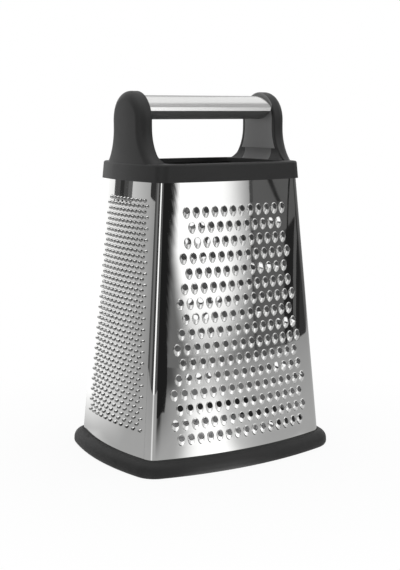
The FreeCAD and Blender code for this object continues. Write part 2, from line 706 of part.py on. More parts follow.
def clamp_frame_shape():
    """The clamp frame: a ring inside the sheets, with a plate at each end for the screws."""
    low = STEEL_HIGH - size("clamp_height")
    grow = -SHEET - FIT
    ring = ring_frame(low, STEEL_HIGH, grow, size("clamp_wall"))
    inner_x = size("mouth_length") / 2
    depth, plate = size("clamp_plate_depth"), size("clamp_plate")
    plates = []
    for x in (-inner_x - size("top_half_length"), inner_x):
        corner = Vector(x, -depth / 2, STEEL_HIGH - plate)
        plates.append(Part.makeBox(size("top_half_length"), depth, plate, corner))
    within = body_block(low, STEEL_HIGH, grow - size("clamp_wall") / 2)
    plates = [block.common(within) for block in plates]
    solid = ring.fuse(plates).removeSplitter()
    gap = size("screw_gap")
    holes = [hole(x, 0, low, STEEL_HIGH + OVERRUN, size("tie_diameter") + gap) for x in (-TIE_X, TIE_X)]
    holes += [hole(x, y, low, STEEL_HIGH + OVERRUN, size("clamp_screw") + gap) for x, y in screw_places()]
    return solid.cut(holes)


def foot_ring_shape():
    """The soft ring: a rounded bead round the steel and a flat ledge under the sheets and frame."""
    top, reach = size("ring_height"), size("ring_reach")
    shoulder, tuck, lip = size("ring_shoulder"), size("ring_tuck"), size("ring_lip")
    ledge = SHEET + FIT + size("frame_wall")
    path = outline_wire(top)
    start = path.OrderedEdges[0]
    first = start.firstVertex(True).Point
    forward = start.tangentAt(start.FirstParameter if start.Orientation == "Forward" else start.LastParameter)
    away = Vector(forward.y, -forward.x, 0).normalize()
    if away.dot(first) < 0:
        away = away * -1

    def at(grow, z):
        return first + away * grow + Vector(0, 0, z - top)

    quarter = math.sqrt(1 / 2)
    crown_round = at(lip + (reach - lip) * quarter, shoulder + (top - shoulder) * quarter)
    tuck_round = at(reach - tuck + tuck * quarter, shoulder - shoulder * quarter)
    inner = -2 * ledge
    section = Part.Wire([
        Part.makeLine(at(inner, 0), at(reach - tuck, 0)),
        arc(at(reach - tuck, 0), tuck_round, at(reach, shoulder)),
        arc(at(reach, shoulder), crown_round, at(lip, top)),
        Part.makeLine(at(lip, top), at(inner, top)),
        Part.makeLine(at(inner, top), at(inner, 0)),
    ])
    bead = path.makePipeShell([section], True, False)
    space = body_block(STEEL_LOW, top + OVERRUN, FIT)
    opening = Part.Face(outline_wire(STEEL_LOW, -ledge, -OVERRUN)).extrude(Vector(0, 0, top + OVERRUN))
    return bead.cut([space, opening])


clamp_frame = feature("top_clamp_frame", clamp_frame_shape())
base_frame = feature("base_frame", ring_frame(STEEL_LOW, STEEL_LOW + size("frame_height"), -SHEET - FIT,
                                              size("frame_wall")))
foot_ring = feature("base_foot_ring", foot_ring_shape())


NODES = (front_panel, back_panel, left_panel, right_panel, handle_frame, left_cover, right_cover, bar_shell,
         bar_core, tie_group, clamp_frame, clamp_group, base_frame, foot_ring)

doc.recompute()
for piece in doc.Objects:
    if "Invalid" in piece.State or "Error" in piece.State:
        raise RuntimeError(f"{piece.Label} failed: {piece.State}")
for piece in NODES:
    if piece.Shape.isNull() or not piece.Shape.isValid():
        raise RuntimeError(f"{piece.Label} has no valid shape")

os.makedirs("parts", exist_ok=True)
for piece in NODES:
    piece.Shape.exportStep(f"parts/{piece.Label}.step")
    box = piece.Shape.BoundBox
    print(f"{piece.Label}: {len(piece.Shape.Solids)} solids, {piece.Shape.Volume:.0f} mm3,"
          f" {box.XLength:.1f} x {box.YLength:.1f} x {box.ZLength:.1f} mm, from z {box.ZMin:.1f}")
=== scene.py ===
# %% [markdown]
# # A four-sided box grater
# The grater stands on a soft ring. Four bowed stainless sheets taper up to a black collar, and two
# uprights on the collar carry a steel-clad bar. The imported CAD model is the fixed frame: every new
# mesh below goes exactly where its CAD solid is, with X along the front, the front looking to -Y and
# Z up. Blender works in metres, and the sizes below are written in millimetres, as on a drawing.

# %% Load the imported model
import math

import bpy
import numpy as np
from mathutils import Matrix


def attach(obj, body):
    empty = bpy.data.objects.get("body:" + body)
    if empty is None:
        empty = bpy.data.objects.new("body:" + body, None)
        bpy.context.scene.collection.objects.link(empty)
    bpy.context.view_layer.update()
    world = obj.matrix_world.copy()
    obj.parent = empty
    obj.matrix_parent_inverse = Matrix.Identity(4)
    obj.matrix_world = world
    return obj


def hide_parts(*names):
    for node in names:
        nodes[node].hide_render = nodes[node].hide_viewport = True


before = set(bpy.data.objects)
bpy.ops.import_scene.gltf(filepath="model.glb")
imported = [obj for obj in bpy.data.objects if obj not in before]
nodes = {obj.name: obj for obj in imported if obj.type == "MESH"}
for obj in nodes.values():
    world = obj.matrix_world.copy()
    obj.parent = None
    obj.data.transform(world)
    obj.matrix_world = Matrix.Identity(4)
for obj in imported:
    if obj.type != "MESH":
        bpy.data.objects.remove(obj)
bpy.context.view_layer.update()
scene = bpy.context.scene
scene.view_settings.view_transform = "Standard"
MM = 0.001
print("CAD nodes:", ", ".join(sorted(nodes)))

# %% [markdown]
# ## Camera
# The photograph is a product shot from the front left, a little above. The camera could be placed by
# eye, but then few teeth would meet their places. So it was found by matching the outline and the
# rows of teeth: its direction, distance, height, tilt and focal length in pixels. Blender measures
# the focal length on a sensor, 36 mm wide, that spans the long side of the picture.

# %% Camera
CAMERA_TURN = math.radians(32.48)
CAMERA_TILT = math.radians(8.82)
CAMERA_DISTANCE, CAMERA_HEIGHT = 794.3 * MM, 240.1 * MM
FOCAL_PIXELS, LONG_SIDE_PIXELS, SENSOR = 1117.5, 570, 36

camera = bpy.data.objects.new("camera", bpy.data.cameras.new("camera"))
scene.collection.objects.link(camera)
camera.data.sensor_width = SENSOR
camera.data.lens = FOCAL_PIXELS * SENSOR / LONG_SIDE_PIXELS
camera.data.clip_start = 10 * MM
camera.location = (-CAMERA_DISTANCE * math.sin(CAMERA_TURN), -CAMERA_DISTANCE * math.cos(CAMERA_TURN),
                   CAMERA_HEIGHT)
camera.rotation_euler = (math.pi / 2 - CAMERA_TILT, 0, -CAMERA_TURN)
scene.camera = camera
print(f"lens {camera.data.lens:.1f} mm")

# %% [markdown]
# ## Small helpers
# Colours are written as on a screen, in sRGB hex, and turned to the linear values that the shader
# works with. One function adds any shader node: its properties are keyword arguments, and a socket
# is either set to a value or linked. Meshes could be drawn with Blender's edit tools, but here every
# surface is a formula, so two functions turn whole numpy arrays into the points and quads of a mesh.

# %% Helpers
def linear(colour):
    """sRGB hex to linear RGBA: the power curve of the sRGB standard, with its straight foot."""
    srgb = np.array([int(colour[i:i + 2], 16) for i in (1, 3, 5)]) / 255
    rgb = np.where(srgb <= 0.04045, srgb / 12.92, ((srgb + 0.055) / 1.055) ** 2.4)
    return (*rgb.tolist(), 1.0)


def add_node(tree, kind, inputs=None, **settings):
    """One shader node: settings are its properties, inputs are its sockets, linked or set."""
    made = tree.nodes.new("ShaderNode" + kind)
    for name, value in settings.items():
        setattr(made, name, value)
    for name, value in (inputs or {}).items():
        if isinstance(value, bpy.types.NodeSocket):
            tree.links.new(value, made.inputs[name])
        else:
            made.inputs[name].default_value = value
    return made


def mesh_object(name, points, *faces):
    """A mesh from an array of points in millimetres and arrays of quads or other polygons."""
    mesh = bpy.data.meshes.new(name)
    mesh.from_pydata(np.asarray(points, float) * MM, [], sum((block.tolist() for block in faces), []))
    mesh.polygons.foreach_set("use_smooth", np.ones(len(mesh.polygons), bool))
    mesh.update()
    made = bpy.data.objects.new(name, mesh)
    scene.collection.objects.link(made)
    return made


def grid_faces(rows, columns):
    """Quads of a grid of points, numbered row by row from the top left, seen from outside."""
    first = np.arange(rows - 1)[:, None] * columns + np.arange(columns - 1)
    return np.stack([first, first + columns, first + columns + 1, first + 1], -1)


print("mid grey #808080 is", round(linear("#808080")[0], 3), "in linear light")

# %% [markdown]
# ## Studio: the surround
# Polished steel has hardly a colour of its own: it shows the room. So the room is built as a
# photographer builds it. A picture of a studio could light the scene, but plain shapes can be moved
# and dimmed one by one. The first is the surround, which is white to the eye and in reflections, and
# lights the object at a lower level, so that the plastics keep their colours.

# %% Surround
WORLD_LEVEL, WHITE = 0.42, (1, 1, 1, 1)


def only_for_eyes(tree):
    """1 for rays from the camera, from reflections and through glass, 0 for the light they cast."""
    path = add_node(tree, "LightPath").outputs
    seen = add_node(tree, "Math", {0: path["Is Camera Ray"], 1: path["Is Glossy Ray"]}, operation="MAXIMUM")
    return add_node(tree, "Math", {0: seen.outputs[0], 1: path["Is Transmission Ray"]},
                    operation="MAXIMUM").outputs[0]


world = bpy.data.worlds.new("white surround")
world.use_nodes = True
scene.world = world
tree = world.node_tree
level = add_node(tree, "MapRange", {"Value": only_for_eyes(tree), "To Min": WORLD_LEVEL, "To Max": 1.0})
background = tree.nodes["Background"]
background.inputs["Color"].default_value = WHITE
tree.links.new(level.outputs[0], background.inputs["Strength"])
print("the surround looks white and lights at", WORLD_LEVEL)

# %% [markdown]
# ## Studio: the table
# The grater stands on a white paper sweep. A white diffuse floor would come out grey, because it is
# only as bright as its light. So the paper mixes its own matt surface with a white glow, which eyes
# see and which casts no light. Near the grater the glow leaves a small share to the matt surface, and
# that share shows the shadow. Inside the grater the paper is in the shade and has no glow.

# %% Table
TABLE_RADIUS, TABLE_MIDDLE, TABLE_RINGS, TABLE_STEPS = 880.0, 12.0, 60, 180
SHADOW_NEAR, SHADOW_FAR, GLOW_NEAR, GLOW_FAR = 100.0, 260.0, 0.93, 1.0
INSIDE_LENGTH, INSIDE_DEPTH = 72.0, 54.0


def disc_points(radii, steps, height=0.0):
    """Rings of points round the origin, one for each radius."""
    out, turn = np.asarray(radii)[:, None], np.linspace(0, 2 * np.pi, steps + 1)[None, :]
    return np.stack(np.broadcast_arrays(out * np.cos(turn), out * np.sin(turn), height), -1)


def disc(name, points):
    """A flat disc: rings of quads, and a small polygon in the middle."""
    rings, around = points.shape[:2]
    middle = np.arange(around - 1)[None, :]
    return mesh_object(name, points.reshape(-1, 3), grid_faces(rings, around).reshape(-1, 4), middle)


def start_material(name):
    """A new material with its tree, its Principled shader and the Object coordinates."""
    made = bpy.data.materials.new(name)
    made.use_nodes = True
    tree = made.node_tree
    return made, tree, tree.nodes["Principled BSDF"], add_node(tree, "TexCoord").outputs["Object"]


def within(tree, where, half_length, half_depth, low=-1.0):
    """1 within a box round the Z axis, given by its half sizes and its low end in millimetres, else 0."""
    size = add_node(tree, "VectorMath", {0: where}, operation="ABSOLUTE")
    part = add_node(tree, "SeparateXYZ", {0: size.outputs[0]}).outputs
    end = add_node(tree, "Math", {0: part[0], 1: half_length * MM}, operation="LESS_THAN")
    front = add_node(tree, "Math", {0: part[1], 1: half_depth * MM}, operation="LESS_THAN")
    above = add_node(tree, "Math", {0: part[2], 1: low * MM}, operation="GREATER_THAN")
    both = add_node(tree, "Math", {0: end.outputs[0], 1: front.outputs[0]}, operation="MULTIPLY")
    return add_node(tree, "Math", {0: both.outputs[0], 1: above.outputs[0]},
                    operation="MULTIPLY").outputs[0]


TABLE_SPOTS = disc_points(np.geomspace(TABLE_MIDDLE, TABLE_RADIUS, TABLE_RINGS), TABLE_STEPS)
table = disc("table", TABLE_SPOTS)
paper, tree, _, where = start_material("matt white paper sweep")
away = add_node(tree, "VectorMath", {0: where}, operation="LENGTH")
white = add_node(tree, "MapRange", {"Value": away.outputs["Value"], "From Min": SHADOW_NEAR * MM,
                                    "From Max": SHADOW_FAR * MM, "To Min": GLOW_NEAR, "To Max": GLOW_FAR})
inside = within(tree, where, INSIDE_LENGTH, INSIDE_DEPTH)
outside = add_node(tree, "Math", {0: 1.0, 1: inside}, operation="SUBTRACT")
share = add_node(tree, "Math", {0: white.outputs[0], 1: only_for_eyes(tree)}, operation="MULTIPLY")
share = add_node(tree, "Math", {0: share.outputs[0], 1: outside.outputs[0]}, operation="MULTIPLY")
matt = add_node(tree, "BsdfDiffuse", {"Color": linear("#F2F2F2")})
glow = add_node(tree, "Emission", {"Color": WHITE, "Strength": 1.0})
mixed = add_node(tree, "MixShader", {0: share.outputs[0], 1: matt.outputs[0], 2: glow.outputs[0]})
tree.links.new(mixed.outputs[0], tree.nodes["Material Output"].inputs["Surface"])
table.data.materials.append(paper)
print("table radius", TABLE_RADIUS, "mm")

# %% [markdown]
# ## Studio: cards that only reflections see
# What the photograph's steel mirrors is softboxes, curtains and stands round the table. Lamps could
# stand for the softboxes, but they would light everything else too. So these are cards: strips of a
# far cylinder between two directions, in degrees from straight in front towards the right, with a
# brightness at each point. 1 is the surround's white. Softboxes are brighter and curtains darker.

# %% Card builder
CARD_DISTANCE, CARD_LOW = 40000.0, -13.0

card_cloth, tree, _, _ = start_material("studio cards")
level = add_node(tree, "Attribute", attribute_name="brightness")
glow = add_node(tree, "Emission", {"Strength": level.outputs["Fac"]})
tree.links.new(glow.outputs[0], tree.nodes["Material Output"].inputs["Surface"])


def only_reflected(card, brightness):
    """Gives a card its brightness, point by point, and hides it from all but reflections."""
    level = card.data.attributes.new("brightness", "FLOAT", "POINT")
    level.data.foreach_set("value", np.ascontiguousarray(brightness, np.float32).ravel())
    card.data.materials.append(card_cloth)
    card.visible_camera = card.visible_diffuse = card.visible_shadow = False
    card.visible_transmission = card.visible_volume_scatter = False


def card(name, turns, tilts, brightness, distance=CARD_DISTANCE, lean=0.0):
    """A strip of a cylinder: turns and tilts are degrees, brightness is a grid of both, and lean is
    how far the strip turns for each degree of tilt."""
    tilt = np.radians(tilts)[:, None]
    turn = np.radians(turns)[None, :] + lean * (tilt - tilt[-1])
    wall = np.stack(np.broadcast_arrays(np.sin(turn), -np.cos(turn), np.tan(tilt)), -1) * distance
    piece = mesh_object(name, wall.reshape(-1, 3), grid_faces(len(tilts), len(turns)).reshape(-1, 4))
    only_reflected(piece, np.broadcast_to(brightness, (len(tilts), len(turns))))


# %% Far cards
# name, from, to, upper edge (degrees above the horizon), brightness at both ends
FAR_CARDS = (
    ("back_softbox", -200, -170, 17, 1.75, 1.6),
    ("left_gradient_card", -170, -122, 17, 1.52, 0.42),
    ("left_curtain", -122, -104, 30, 0.1, 0.12),
    ("left_gap", -104, -84, 30, 0.25, 0.25),
    ("left_dark_card", -84, -65, 60, 0.07, 0.07),
    ("strip_light", -65, -53, 25, 1.7, 1.7),
    ("camera_grey_card", -53, -34, 30, 0.15, 0.12),
    ("camera_curtain", -34, 16, 30, 0.02, 0.02),
    ("right_dark_edge", 38.8, 40, 17, 0.09, 0.1),
    ("right_dark_card", 40, 60, 17, 0.16, 0.14),
    ("right_far_curtain", 60, 68, 17, 0.05, 0.05),
)
for name, start, end, high, first, last in FAR_CARDS:
    steps = max(3, int((end - start) / 2) + 1)
    card(name, np.linspace(start, end, steps), np.array([high, CARD_LOW]), np.linspace(first, last, steps))
card("far_right_wall", np.linspace(68, 150, 20), np.array([5.0, CARD_LOW]), np.linspace(0.12, 0.3, 20))
card("right_high_card", np.linspace(55, 100, 12), np.array([70.0, 40.0]), 0.45)
card("back_right_card", np.linspace(141, 162, 9), np.array([32.0, 3.0]), 0.5)
print("far cards:", len(FAR_CARDS) + 3)

# %% Near cards
# The ribbed housing of the left lamp, whose lower edge slopes, and what stands or hangs before the
# right cards: name, from, to, upper edge, lower edge, brightness.
NEARER, CABLE_LEAN = 0.99 * CARD_DISTANCE, -2.4
NEAR_CARDS = (
    ("lamp_housing_0", -161.5, -160, 8.0, 0.0, 0.15),
    ("lamp_housing_1", -160, -155, 8.0, 0.35, 0.11),
    ("lamp_housing_2", -155, -151, 8.0, 0.75, 0.045),
    ("lamp_housing_3", -151, -147, 8.0, 1.1, 0.1),
    ("lamp_housing_4", -147, -143.2, 8.0, 1.4, 0.17),
    ("left_stand", -128.4, -122, 9.0, 3.0, 0.05),
    ("right_curtain", 52.5, 56.8, 0.4, CARD_LOW, 0.025),
    ("right_curtain_edge", 58.2, 60, 0.6, CARD_LOW, 0.025),
    ("right_stand", 53.4, 54, 5.0, 0.4, 0.03),
)
for name, start, end, high, low, level in NEAR_CARDS:
    card(name, np.linspace(start, end, 4), np.array([high, low]), level, NEARER)
card("right_cable", np.linspace(50.6, 51.8, 2), np.array([4.0, 1.5]), 0.03, NEARER, CABLE_LEAN)
print("near cards:", len(NEAR_CARDS) + 1)

# %% Front softbox
# In degrees: the softbox's middle and the distances to its rim, sideways and down. The flag's edge
# leans over a stretch of its height and blurs below, where light spills past another leaning line.
# The last line holds their brightness.
BOX_TURN, BOX_TILT, BOX_WIDE, BOX_DEEP = 20.0, 1.0, 15.66, 4.5
FLAG_TURN, FLAG_LEAN, FLAG_FROM, FLAG_TALL = 11.3, 1.25, 0.8, 4.0
FLAG_SHARP, FLAG_BLUR, BLUR_FROM, BLUR_DEEP = 1.5, 1.8, 2.0, 6.0
SPILL_TURN, SPILL_LEAN, SPILL_EDGE, SPILL_DEEP = 9.6, 1.1, 0.8, 0.5
BOX_LEVEL, SPILL_LEVEL, BLACK = 1.8, 0.2, 0.02


def ramp(value, start, end):
    """0 up to the start, 1 from the end on, straight between them."""
    return np.clip((value - start) / (end - start), 0, 1)


def softbox_level(turn, tilt):
    """A softbox is brightest in its middle and fades smoothly to its rim: 1 / (1 + d^5), where d is
    the distance from the middle in rim widths. A black flag cuts off its left rim, sharply above and
    softly below, where some light spills past its foot. The cut c is smoothed by c^2 (3 - 2c)."""
    rim = np.hypot((turn - BOX_TURN) / BOX_WIDE, np.minimum(tilt - BOX_TILT, 0) / BOX_DEEP)
    flag = FLAG_TURN + FLAG_LEAN * np.clip(tilt - FLAG_FROM, 0, FLAG_TALL)
    blur = FLAG_SHARP + FLAG_BLUR * np.clip(BLUR_FROM - tilt, 0, BLUR_DEEP)
    cut = ramp(turn, flag - blur / 2, flag + blur / 2)
    past = turn - SPILL_TURN - SPILL_LEAN * tilt
    spill = SPILL_LEVEL * ramp(past, -SPILL_EDGE / 2, SPILL_EDGE / 2) * ramp(-tilt, 0, SPILL_DEEP)
    return np.maximum(BLACK + spill, BOX_LEVEL / (1 + rim ** 5) * cut ** 2 * (3 - 2 * cut))


turns, tilts = np.linspace(4, 38.8, 60), np.linspace(33, CARD_LOW, 80)
box_level = softbox_level(turns[None, :], tilts[:, None])
card("front_softbox", turns, tilts, box_level, NEARER)
print("front softbox brightness up to", box_level.max().round(2))

# %% [markdown]
# ## Studio: the table in reflections
# Seen from a little above, much of the steel mirrors the table. The paper could be left plain, but in
# the photograph it carries pools of light and shade from the softboxes and curtains. One card lies on
# it with those pools as its brightness, each a band of directions seen from the place on the steel
# that mirrors it. A black cloth lies over the table's front, and a large softbox hangs above.

# %% Light on the table
# Places in millimetres that the pools are seen from
FRONT_SPOT, LEFT_SPOT, CORNER_SPOT = (-64, 55), (-72, -5), (-70, -52)
# Direction and half width of each band in degrees
LANE_BAND, SIDE_BAND, FLAG_BAND, STRIP_BAND, CURTAIN_BAND = (17, 6.8), (24, 9), (3, 6), (-59, 5), (-13, 17)
# The lane widens close to the grater: by degrees, within millimetres. Its levels change at its reach.
LANE_FLARE, FLARE_REACH, LANE_REACH = 5, 170, 500
LANE_FAR, LANE_NEAR, SIDE_SHARE = 0.27, 0.75, 0.3


def seen_from(spot, x, y):
    """Direction of a table point from a spot: degrees from straight in front, towards the right."""
    return np.degrees(np.arctan2(x - spot[0], spot[1] - y))


def band(turn, middle, half, power=4):
    """1 in the middle of a band of directions, falling off to both sides as exp(-d^power)."""
    return np.exp(-((turn - middle) / half) ** power)


def front_lane(turn, away):
    """Light that the front softbox throws: a flat-topped band and a soft one on its right. It widens
    close to the grater, and beyond its reach it fades to about a quarter, as 1 / (1 + d^8)."""
    half = LANE_BAND[1] + LANE_FLARE * np.exp(-(away / FLARE_REACH) ** 2)
    lane = band(turn, LANE_BAND[0], half) + SIDE_SHARE * band(turn, *SIDE_BAND, power=2)
    return lane * (LANE_FAR + LANE_NEAR / (1 + (away / LANE_REACH) ** 8))


print("middle of the lane 300 mm away:", front_lane(LANE_BAND[0], 300.0).round(2))

# %% Table card
RING_LENGTH, RING_DEPTH, CARD_LIFT = 84.8, 67.5, 0.2
GREY_NEAR, GREY_FALL, SHADE_INSIDE, CLOSE_LEVEL, STRIP_LEVEL = 0.57, 0.15, 0.55, 0.2, 0.7
FLAG_SHADE, CURTAIN_SHADE = 0.75, 0.9
# Distances in millimetres over which each comes in
GREY_REACH, CLOSE_REACH, FLAG_REACH = (200, 1000), (10, 30), (480, 680)
LEFT_REACH, CURTAIN_REACH = (100, 260), (150, 370)
# The left gradient card's brightness on the table, by direction
LEFT_TURNS, LEFT_LEVELS = (-215, -200, -170, -122, -110), (0.0, 1.6, 1.52, 0.45, 0.0)


def table_level(x, y):
    """Brightness of the table as the steel sees it. It is grey, a little darker far away and lighter
    close to the ring. The front softbox and the strip light throw bands of light on it, and the left
    gradient card lights the left half as brightly as itself. The front softbox's flag and the
    camera's curtain throw bands of shade. Under the grater the table is in the shade."""
    away = np.hypot(x, y)
    grey = GREY_NEAR - GREY_FALL * ramp(away, *GREY_REACH)
    from_ring = np.maximum(np.abs(x) - RING_LENGTH, np.abs(y) - RING_DEPTH)
    close = CLOSE_LEVEL * (1 - ramp(from_ring, *CLOSE_REACH))
    front = seen_from(FRONT_SPOT, x, y)
    flag = band(front, *FLAG_BAND) * ramp(away, *FLAG_REACH)
    left = np.interp(seen_from(LEFT_SPOT, x, y) % 360 - 360, LEFT_TURNS, LEFT_LEVELS)
    left = np.maximum(left - grey, 0) * ramp(away, *LEFT_REACH)
    corner = seen_from(CORNER_SPOT, x, y)
    strip = STRIP_LEVEL * band(corner, *STRIP_BAND)
    curtain = band(corner, *CURTAIN_BAND) * ramp(away, *CURTAIN_REACH)
    light = grey + close + front_lane(front, away) + left + strip
    light = light * (1 - FLAG_SHADE * flag) * (1 - CURTAIN_SHADE * curtain)
    inside = (np.abs(x) < INSIDE_LENGTH) & (np.abs(y) < INSIDE_DEPTH)
    return np.where(inside, SHADE_INSIDE, light)


table_card = disc("table_card", TABLE_SPOTS + [0, 0, CARD_LIFT])
spot_level = table_level(TABLE_SPOTS[..., 0], TABLE_SPOTS[..., 1])
only_reflected(table_card, spot_level)
print("table brightness in reflections:", spot_level.min().round(2), "to", spot_level.max().round(2))

# %% Cloth and ceiling
CLOTH_LIFT, CLOTH_CORNERS = 0.4, np.array([(-260, -390), (-1850, -2940), (262, -2940), (-46, -390)])
CEILING_RADII, CEILING_STEPS, CEILING_HEIGHT, CEILING_LEVEL = np.linspace(500, 10000, 6), 60, 20000.0, 1.6
corners = np.column_stack([CLOTH_CORNERS, np.full(4, CLOTH_LIFT)])
only_reflected(mesh_object("black_cloth", corners, np.arange(4)[None, :]), np.full(4, BLACK))
ceiling = disc("ceiling_softbox", disc_points(CEILING_RADII, CEILING_STEPS, CEILING_HEIGHT))
only_reflected(ceiling, np.full(len(ceiling.data.vertices), CEILING_LEVEL))
print("cloth and ceiling in place")

# %% [markdown]
# ## Studio: lamps
# Three large soft lamps light the plastics, from the left, above and the front right, as in a product
# studio. Small lamps would give hard shadows, which the photograph doesn't show. The lamps are hidden
# from reflections, because the cards already stand for all that the steel sees.

# %% Lamps
# name, place in metres, width, power in watts
LAMPS = (
    ("left_softbox", (-1.5, -0.25, 0.75), 1.2, 12.0),
    ("top_softbox", (0.1, -0.2, 1.7), 1.4, 12.0),
    ("front_fill", (0.7, -1.5, 0.6), 1.2, 13.0),
)
AIM = np.array([0.0, 0.0, 0.12])
for name, place, width, power in LAMPS:
    lamp = bpy.data.objects.new(name, bpy.data.lights.new(name, "AREA"))
    scene.collection.objects.link(lamp)
    lamp.data.shape, lamp.data.size, lamp.data.energy = "SQUARE", width, power
    lamp.location = place
    toward = AIM - np.array(place)
    side = math.atan2(toward[0], -toward[1])
    lamp.rotation_euler = (math.acos(-toward[2] / np.linalg.norm(toward)), 0, side)
    lamp.visible_glossy = False
print("lamps:", len(LAMPS))

# %% [markdown]
# ## Finish: polished stainless sheet
# The sides are rolled 18/10 stainless sheet, bright polished: a mirror with a faint haze. Handling
# leaves smudges a few centimetres wide that dull it, and punching leaves the sheet very slightly
# wavy. Where a tooth was drawn out of the sheet the stretched grain is pale and dull, and the inner
# side is left as rolled, grey and duller still. A second material on the teeth would end in a hard
# line, so one material reads the mesh's own attribute: 0 is polished, 1 is drawn, more is as rolled.
# Patterns lie on Object coordinates, so they stay in place on their piece, and their sizes are real
# millimetres: a noise of scale s has features about 1/s metres wide.

# %% Polished stainless steel
AS_ROLLED, DRAWN_ROUGHNESS = 1.5, 0.36


def per_mm(size):
    """Texture scale for features of a size in millimetres, on coordinates in metres."""
    return 1 / (size * MM)


def connect(tree, shader, tone, rough, bump=None):
    """Links a finish's tone, roughness and bump, each a node's first output, to its shader."""
    for socket, source in (("Base Color", tone), ("Roughness", rough), ("Normal", bump)):
        if source:
            tree.links.new(source.outputs[0], shader.inputs[socket])


polished_steel, tree, shader, where = start_material("polished stainless sheet")
smudge = add_node(tree, "TexNoise", {"Vector": where, "Scale": per_mm(28), "Detail": 4.0, "Roughness": 0.6})
haze = add_node(tree, "MapRange", {"Value": smudge.outputs[0], "From Min": 0.35, "From Max": 0.75,
                                   "To Min": 0.015, "To Max": 0.045})
drawn = add_node(tree, "Attribute", attribute_name="drawn").outputs["Fac"]
haze = add_node(tree, "Math", {0: drawn, 1: DRAWN_ROUGHNESS, 2: haze.outputs[0]}, operation="MULTIPLY_ADD")
tone = add_node(tree, "MixRGB", {0: smudge.outputs[0], 1: linear("#D3D3D2"), 2: linear("#C6C6C5")})
tone = add_node(tree, "MixRGB", {0: drawn, 1: tone.outputs[0], 2: linear("#EBEBEA")})
rolled = add_node(tree, "MapRange", {"Value": drawn, "From Min": 1.0, "From Max": AS_ROLLED})
tone = add_node(tree, "MixRGB", {0: rolled.outputs[0], 1: tone.outputs[0], 2: linear("#B0B0B0")})
wave = add_node(tree, "TexNoise", {"Vector": where, "Scale": per_mm(14), "Detail": 1.0})
bump = add_node(tree, "Bump", {"Height": wave.outputs[0], "Strength": 0.025, "Distance": 0.6 * MM})
connect(tree, shader, tone, haze, bump)
shader.inputs["Metallic"].default_value = 1.0
print(polished_steel.name, "has", len(tree.nodes), "nodes")

# %% [markdown]
# ## Finish: satin brushed stainless
# The shell on the handle bar is brushed along its length. The scratches stretch a highlight across
# the bar and make it soft. The shader's own anisotropy could stretch it too, but it shows no
# scratches. A noise that is long along the bar and fine across it does both. Real scratches are a few
# hundredths of a millimetre apart, and these are drawn coarser, so that they show.

# %% Satin stainless steel
BRUSH_LONG, BRUSH_FINE = per_mm(30), per_mm(0.35)
satin_steel, tree, shader, where = start_material("satin brushed stainless")
along = add_node(tree, "Mapping", {"Vector": where, "Scale": (BRUSH_LONG, BRUSH_FINE, BRUSH_FINE)})
brush = add_node(tree, "TexNoise", {"Vector": along.outputs[0], "Scale": 1.0, "Detail": 3.0})
rough = add_node(tree, "MapRange", {"Value": brush.outputs[0], "To Min": 0.14, "To Max": 0.26})
tone = add_node(tree, "MixRGB", {0: brush.outputs[0], 1: linear("#DADAD9"), 2: linear("#E8E8E7")})
bump = add_node(tree, "Bump", {"Height": brush.outputs[0], "Strength": 0.12, "Distance": 0.08 * MM})
connect(tree, shader, tone, rough, bump)
shader.inputs["Metallic"].default_value = 1.0
print(satin_steel.name, "has", len(tree.nodes), "nodes")

# %% [markdown]
# ## Finish: moulded plastics and rubber
# Soft-touch lacquer over ABS has a low, even gloss, polypropylene for the hidden frames is plain and
# duller, and rubber is the deepest black. The inserts of the uprights and the beam of the bar are
# spark-eroded, with a deeper grain. The beam is black plastic, and its grey tone is painted sheen. The
# inserts' light grey is partly their own tone and partly painted sheen of light glancing off them, and
# the shader's own sheen adds to it seen aslant. Five separate materials would repeat each other, so one
# function makes them all: a fine grain as bump, and a cloudy wear a few centimetres wide that varies
# colour and gloss. The real grain is about a tenth of a millimetre, and it is drawn at about half a
# millimetre, so that it shows.

# %% Moulded plastics
CLOUD, GRAIN_DEPTH = per_mm(22), 0.12 * MM


def moulded(name, dark, light, grain, low, high, strength, **own):
    """Tones from dark to light and roughness from low to high, both by the cloud. The grain's size is
    in millimetres. Values that are the same all over go on the shader's own sockets."""
    made, tree, shader, where = start_material(name)
    fine = add_node(tree, "TexNoise", {"Vector": where, "Scale": per_mm(grain), "Detail": 2.0})
    cloud = add_node(tree, "TexNoise", {"Vector": where, "Scale": CLOUD, "Detail": 5.0, "Roughness": 0.65})
    tone = add_node(tree, "MixRGB", {0: cloud.outputs[0], 1: linear(dark), 2: linear(light)})
    rough = add_node(tree, "MapRange", {"Value": cloud.outputs[0], "From Min": 0.3, "From Max": 0.7,
                                        "To Min": low, "To Max": high})
    bump = add_node(tree, "Bump", {"Height": fine.outputs[0], "Strength": strength, "Distance": GRAIN_DEPTH})
    connect(tree, shader, tone, rough, bump)
    for socket, value in own.items():
        shader.inputs[socket.replace("_", " ")].default_value = value
    return made


# name, dark and light tone, grain in millimetres, roughness from and to, strength of the grain
soft_touch = moulded("soft-touch lacquered ABS", "#2C2C2C", "#343434", 0.5, 0.45, 0.55, 0.2,
                     Specular_IOR_Level=0.3)
plain_plastic = moulded("moulded polypropylene", "#1F1F1F", "#262626", 0.4, 0.5, 0.62, 0.3)
foot_rubber = moulded("moulded thermoplastic rubber", "#171717", "#1F1F1F", 0.6, 0.58, 0.7, 0.3)
# The beam is black plastic: its grey tones are painted sheen.
black_beam_painted_sheen = moulded("black polypropylene beam with painted sheen", "#626262", "#6E6E6E", 0.45, 0.45, 0.55, 0.5)
# The inserts' light grey is partly their own tone and partly painted sheen of light glancing off them.
insert_grey_and_painted_sheen = moulded("grey polypropylene insert with painted sheen", "#8E8E8E", "#9A9A9A", 0.45, 0.45, 0.55, 0.5,
                         Sheen_Weight=0.6)
print("moulded finishes:", ", ".join(made.name for made in bpy.data.materials if "moulded" in made.name))
